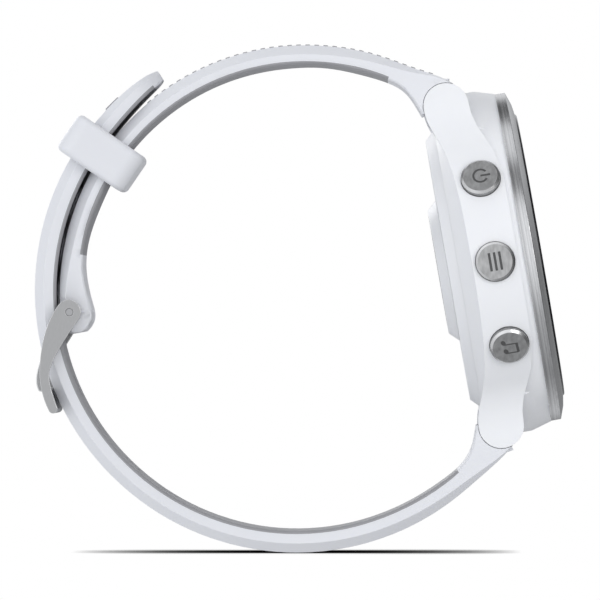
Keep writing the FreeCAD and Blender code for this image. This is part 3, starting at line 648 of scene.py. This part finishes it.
def make_dashes():
    """Small raised dashes in rows across the outer face of the buckle-side strap. Their dark grey is partly the
    inner layer's silicone and partly painted shade, standing for the shade inside small recesses of the outer
    face.
    """
    source = bmesh.new()
    source.from_mesh(frame["nodes"]["strap_buckle_side"].data)
    tree = BVHTree.FromBMesh(source)
    source.free()

    def on_strap(angle, y):
        """The place on the strap's outer face and its normal."""
        out = spoke(angle)
        start = (UPPER_CENTRE + ALONG * y + out * RAY_START) * MM
        place, normal = tree.ray_cast(start, -out)[:2]
        return (place / MM, normal) if place else (None, None)

    def flat_half(angle):
        """How far the flat of the outer face reaches from the middle."""
        y = FLAT_REACH
        while True:
            place, normal = on_strap(angle, y + FLAT_STEP)
            if place is None or normal.dot(spoke(angle)) < FLAT_FACING:
                return y
            y += FLAT_STEP

    bm = bmesh.new()
    rows = int((DASH_SPAN[1] - DASH_SPAN[0]) / DASH_PITCH)
    for row in range(rows + 1):
        angle = DASH_SPAN[0] + row * DASH_PITCH
        reach = flat_half(angle) - DASH_WIDTH / 2
        for column in range(DASH_COLUMNS):
            y = reach * (2 * column / (DASH_COLUMNS - 1) - 1)
            place, normal = on_strap(angle, y)
            tangent = ALONG.cross(normal).normalized()
            matrix = Matrix((tangent, normal.cross(tangent), normal)).transposed().to_4x4()
            matrix.translation = place
            size = Matrix.Diagonal((DASH_LENGTH, DASH_WIDTH, 2 * DASH_PROUD, 1))
            bmesh.ops.create_cube(bm, size=1.0, matrix=matrix @ size)
    # Painted shade: the dashes' dark grey stands in part for the shade inside small recesses of the outer face.
    dashes = to_object(bm, "strap_12_dashes", ("strap_inner_silicone",))
    round_edges(dashes, DASH_ROUNDING, 2)
    as_piece(dashes, "buckle_strap")


def make_buckle():
    """The frame and the tongue, with polished edges."""
    for node, name, body, width in (("buckle_frame", "buckle_bow", "buckle", 0.22),
                                    ("buckle_tongue", "tongue_pin", "tongue", 0.12)):
        refined(node, name, body, "buckle_metal", width, 2, 35.0, ("polished_edge",), 1)


# ---------------------------------------------------------------- materials of the CAD's own nodes
def finish_cad_nodes():
    for part in frame["record"]["subparts"]:
        node = frame["nodes"][part["node"]]
        node.data.materials.clear()
        node.data.materials.append(MATERIALS[part["material_slot"]])


# ---------------------------------------------------------------- stage
def make_camera():
    data = bpy.data.cameras.new("camera")
    camera = bpy.data.objects.new("camera", data)
    bpy.context.scene.collection.objects.link(camera)
    camera.location = CAMERA_PLACE * MM
    sight = VIEW_CENTRE - CAMERA_PLACE
    camera.rotation_euler = sight.to_track_quat("-Z", "Y").to_euler()
    data.lens = data.sensor_width * sight.length / VIEW_WIDTH
    data.clip_start = 0.01
    data.clip_end = 50.0
    bpy.context.scene.camera = camera


# The floor's darkening round the watch is a painted contact shadow, not light that the watch blocks.
CONTACT_REACH = 12.0      # how far round the watch the floor darkens
CONTACT_POWER = 2.2       # a higher power darkens it faster
FLOOR_GAP = 0.00005       # metres, under the watch
FLOOR_RADIUS = 4.0        # metres


def floor_paper():
    """Bright emitting paper with a painted contact shadow: it darkens where something stands close above it."""
    n = Nodes("floor_paper")
    n.tree.nodes.remove(n.shader)
    paper = n.add("ShaderNodeEmission")
    n.link(paper.outputs["Emission"], n.tree.nodes["Material Output"].inputs["Surface"])
    grain = n.spread(n.noise(n.stretched((0.02, 0.02, 0.02))), 0.995, 1.005)
    # painted contact shadow: ambient occlusion darkens the emitting floor near the watch
    near = n.add("ShaderNodeAmbientOcclusion", samples=16)
    near.inputs["Distance"].default_value = CONTACT_REACH * MM
    painted_shadow = n.math("POWER", near.outputs["AO"], CONTACT_POWER)
    n.link(n.math("MULTIPLY", grain, painted_shadow), paper.inputs["Strength"])
    return n.material


def make_floor():
    """A floor that only the camera sees, so that it throws no light back on the watch."""
    bm = bmesh.new()
    bmesh.ops.create_circle(bm, cap_ends=True, segments=64, radius=FLOOR_RADIUS,
                            matrix=Matrix.Translation((0, 0, CAD_BOUNDS[0].z - FLOOR_GAP)))
    floor = to_object(bm, "floor", ())
    floor.data.materials.append(floor_paper())
    floor.visible_diffuse = False
    floor.visible_glossy = False
    floor.visible_transmission = False
    floor.visible_shadow = False


# The studio's light by direction: degrees round the case's axis, from the 9 o'clock side towards
# 12 o'clock, and strength. The gaps between the bright panels give metal its dark streaks.
PANELS = [
    (-180, 0.2), (-165, 0.2), (-140, 0.6), (-118, 0.45), (-90, 0.2), (-75, 0.3), (-40, 0.4),
    (-18, 0.8), (0, 1.0), (38, 1.0), (48, 0.2), (66, 0.1), (76, 0.9), (104, 0.9), (114, 0.04),
    (138, 0.04), (152, 0.9), (170, 0.8), (180, 0.2),
]
PANEL_STRENGTH = 1.06
REAR_PANEL = 0.7
AMBIENT = 0.11
STUDIO_TINT = (0.96, 0.975, 1.0, 1)

# Area lights: name, place in metres and watts
LAMPS = [("key", (0.17, -0.24, 0.07), 0.19), ("rim", (-0.14, 0.26, 0.12), 0.2)]
LAMP_SIZE = 0.16                       # metres
LAMP_AIM = Vector((0.02, 0.0, 0.0))    # metres, a point inside the ring
LAMP_COLOUR = (1.0, 0.99, 0.98)


def make_world():
    """Soft panels round the case's axis and one at the rear, in dim bluish surroundings."""
    world = bpy.data.worlds.new("studio")
    bpy.context.scene.world = world
    world.use_nodes = True
    studio = Tree(world.node_tree)
    background = studio.tree.nodes["Background"]
    direction = studio.add("ShaderNodeTexCoord").outputs["Generated"]

    def along(axis):
        node = studio.add("ShaderNodeVectorMath", operation="DOT_PRODUCT")
        studio.link(direction, node.inputs[0])
        node.inputs[1].default_value = axis
        return node.outputs["Value"]

    turn = studio.math("ARCTAN2", along(UPWARD), along(-ALONG))
    share = studio.math("ADD", studio.math("DIVIDE", turn, 2 * math.pi), 0.5)
    ramp = studio.add("ShaderNodeValToRGB")
    studio.link(share, ramp.inputs["Fac"])
    elements = ramp.color_ramp.elements
    elements.remove(elements[1])
    for i, (degrees, strength) in enumerate(PANELS):
        place = degrees / 360 + 0.5
        element = elements[0] if i == 0 else elements.new(place)
        element.position = place
        element.color = (strength, strength, strength, 1)
    # the panels fade towards the two ends of the case's axis, and a soft one stands at the rear
    depth = along(FRONT)
    fade = studio.math("SUBTRACT", 1.0, studio.math("MULTIPLY", depth, depth))
    faded = studio.math("MULTIPLY", ramp.outputs["Color"], fade)
    panels = studio.math("MULTIPLY", faded, PANEL_STRENGTH)
    rearward = studio.math("MAXIMUM", studio.math("MULTIPLY", depth, -1.0), 0.0)
    rear = studio.math("MULTIPLY", rearward, REAR_PANEL)
    light = studio.math("ADD", studio.math("ADD", panels, rear), AMBIENT)
    studio.link(light, background.inputs["Strength"])
    background.inputs["Color"].default_value = STUDIO_TINT
    # what the camera sees behind the object is plain white paper
    paper = studio.add("ShaderNodeBackground")
    paper.inputs["Color"].default_value = (1, 1, 1, 1)
    chooser = studio.add("ShaderNodeMixShader")
    studio.link(studio.add("ShaderNodeLightPath").outputs["Is Camera Ray"], chooser.inputs[0])
    studio.link(background.outputs[0], chooser.inputs[1])
    studio.link(paper.outputs[0], chooser.inputs[2])
    studio.link(chooser.outputs[0], studio.tree.nodes["World Output"].inputs["Surface"])


def make_lights():
    """A key light in front of the 9 o'clock side, and a rim light behind the 3 o'clock side."""
    for name, place, energy in LAMPS:
        data = bpy.data.lights.new(name, "AREA")
        data.size = LAMP_SIZE
        data.energy = energy
        data.color = LAMP_COLOUR
        lamp = bpy.data.objects.new(name, data)
        bpy.context.scene.collection.objects.link(lamp)
        lamp.location = place
        aim = LAMP_AIM - lamp.location
        lamp.rotation_euler = aim.to_track_quat("-Z", "Y").to_euler()


bpy.context.scene.view_settings.view_transform = "Standard"
finish_cad_nodes()
make_case()
make_buttons()
make_straps()
make_dashes()
make_buckle()
make_camera()
make_world()
make_lights()
make_floor()
